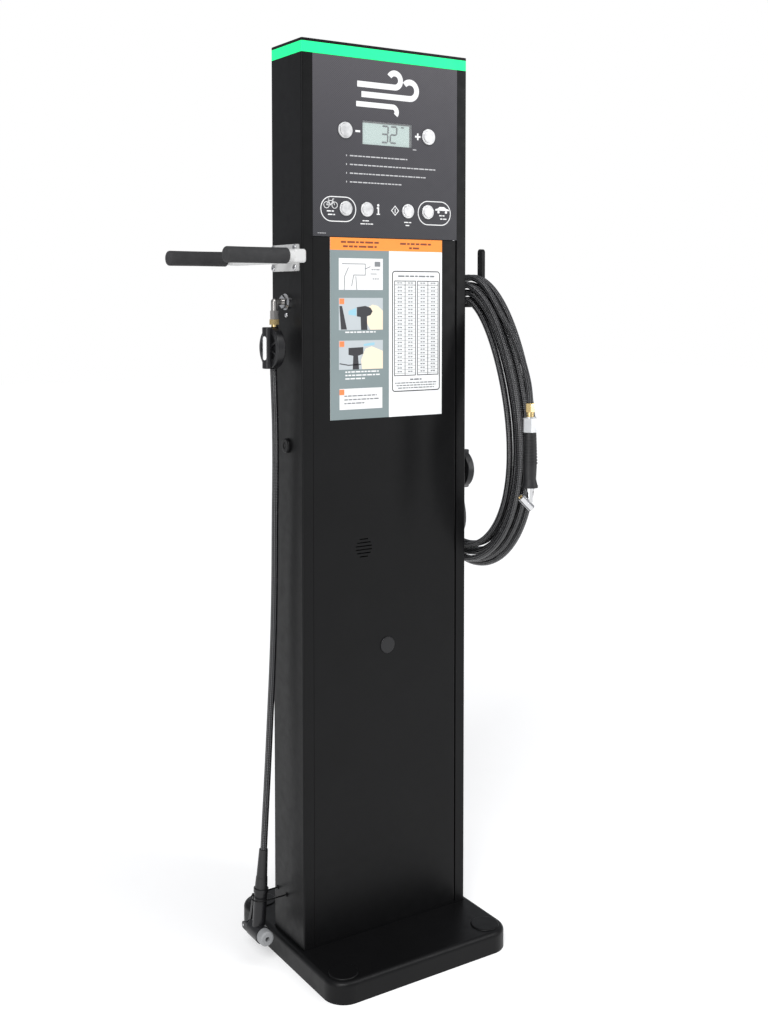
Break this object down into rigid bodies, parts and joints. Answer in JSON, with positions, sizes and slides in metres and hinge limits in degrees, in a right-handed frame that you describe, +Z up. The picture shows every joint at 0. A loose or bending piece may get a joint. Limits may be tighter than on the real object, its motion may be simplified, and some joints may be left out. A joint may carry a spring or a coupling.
{
  "type": "public bicycle and vehicle tyre air tower",
  "caption": "Free-standing slim metal column that gives compressed air for tyres, with control panel, bicycle rest arms, a bicycle chuck hose and a coiled vehicle hose on a hook.",
  "frame": {"origin": "on the floor at the centre of the four anchor holes in the base plate's underside", "axes": "+X to the right of someone facing the panel, -Y out of the panel towards the user, +Z up"},
  "size_m": [0.5565, 0.3913, 1.5],
  "materials": {
    "black_paint": "satin",
    "zinc_steel": "satin",
    "bright_steel": "polished",
    "brushed": "brushed",
    "chrome": "polished",
    "nickel": "satin",
    "brass": "polished",
    "alu": "satin",
    "white_paint": "gloss",
    "green_band": "gloss",
    "white_plastic": "matte",
    "black_plastic": "satin",
    "grey_plastic": "satin",
    "black_rubber": "matte",
    "foam_rubber": "matte",
    "hose_rubber": "matte",
    "printed_sheet": "satin",
    "printed_overlay": "satin",
    "clear_window": "polished",
    "lcd": "satin",
    "circuit_board": "satin",
    "blue_tube": "gloss"
  },
  "bodies": {
    "tower": {"air_filter": "grey_plastic", "air_lines": "blue_tube", "anchor_caps": "black_paint", "base_cover": "black_paint", "base_inlets": "black_plastic", "base_plate": "zinc_steel", "bike_hose": "hose_rubber", "brass_nuts": "brass", "bulkhead_fittings": "chrome", "button_bodies": "brushed", "button_nuts": "bright_steel", "case_screws": "bright_steel", "chassis_plate": "zinc_steel", "chuck_body": "black_plastic", "chuck_grip": "black_rubber", "chuck_hoop": "black_paint", "chuck_nozzle": "grey_plastic", "chuck_relief": "black_rubber", "column_shell": "black_paint", "control_board": "circuit_board", "control_overlay": "printed_overlay", "end_fitting": "brass", "hinge_pins": "bright_steel", "hose_elbows": "nickel", "hose_hook": "black_paint", "inline_barrels": "black_plastic", "inline_discs": "black_plastic", "lcd_module": "lcd", "lcd_window": "clear_window", "led_strip": "white_plastic", "lever_pin": "bright_steel", "light_band": "green_band", "panel_plate": "zinc_steel", "power_supply": "alu", "rest_plate": "white_paint", "rest_sleeves": "foam_rubber", "rest_tube": "white_paint", "side_lock": "black_paint", "solenoid_valves": "black_plastic", "swivel_nut": "zinc_steel", "top_cap": "black_paint", "twin_chuck": "chrome", "valve_manifold": "alu", "vehicle_hose_coil": "hose_rubber", "vehicle_hose_lead": "hose_rubber", "vehicle_hose_tail": "hose_rubber"},
    "door": {"service_door": "black_paint", "sounder": "black_plastic", "blanking_plug": "black_plastic", "instruction_sheet": "printed_sheet"},
    "button_bicycle": {"button_bicycle": "brushed"},
    "button_info": {"button_info": "brushed"},
    "button_minus": {"button_minus": "brushed"},
    "button_mode": {"button_mode": "brushed"},
    "button_plus": {"button_plus": "brushed"},
    "button_vehicle": {"button_vehicle": "brushed"},
    "chuck_lever": {"chuck_lever": "black_plastic"},
    "lock_cam": {"lock_cam": "black_paint"},
    "valve_pin_lower": {"valve_pin_lower": "brass"},
    "valve_pin_upper": {"valve_pin_upper": "brass"}
  },
  "joints": [
    {"name": "press_minus", "type": "slide", "parent": "tower", "child": "button_minus", "axis": [0, 1, 0], "range_m": [0, 0.0015], "stiffness_N_per_m": 800, "springref_m": -0.002},
    {"name": "press_plus", "type": "slide", "parent": "tower", "child": "button_plus", "axis": [0, 1, 0], "range_m": [0, 0.0015], "stiffness_N_per_m": 800, "springref_m": -0.002},
    {"name": "press_bicycle", "type": "slide", "parent": "tower", "child": "button_bicycle", "axis": [0, 1, 0], "range_m": [0, 0.0015], "stiffness_N_per_m": 800, "springref_m": -0.002},
    {"name": "press_info", "type": "slide", "parent": "tower", "child": "button_info", "axis": [0, 1, 0], "range_m": [0, 0.0015], "stiffness_N_per_m": 800, "springref_m": -0.002},
    {"name": "press_mode", "type": "slide", "parent": "tower", "child": "button_mode", "axis": [0, 1, 0], "range_m": [0, 0.0015], "stiffness_N_per_m": 800, "springref_m": -0.002},
    {"name": "press_vehicle", "type": "slide", "parent": "tower", "child": "button_vehicle", "axis": [0, 1, 0], "range_m": [0, 0.0015], "stiffness_N_per_m": 800, "springref_m": -0.002},
    {"name": "lock_turn", "type": "hinge", "parent": "tower", "child": "lock_cam", "pos_m": [-0.1605, 0, 0.853], "axis": [-1, 0, 0], "range_deg": [0, 90]},
    {"name": "door_hinge", "type": "hinge", "parent": "tower", "child": "door", "pos_m": [0.1365, -0.047, 0.6], "axis": [0, 0, 1], "range_deg": [0, 90]},
    {"name": "lever_turn", "type": "hinge", "parent": "tower", "child": "chuck_lever", "pos_m": [-0.2045, 0.055, 0.048], "axis": [-0.9972, 0, 0.075], "range_deg": [0, 80]},
    {"name": "valve_upper_push", "type": "slide", "parent": "tower", "child": "valve_pin_upper", "axis": [0.7431, 0, -0.6691], "range_m": [0, 0.002], "stiffness_N_per_m": 600, "springref_m": -0.002},
    {"name": "valve_lower_push", "type": "slide", "parent": "tower", "child": "valve_pin_lower", "axis": [-0.7431, 0, 0.6691], "range_m": [0, 0.002], "stiffness_N_per_m": 600, "springref_m": -0.002}
  ]
}
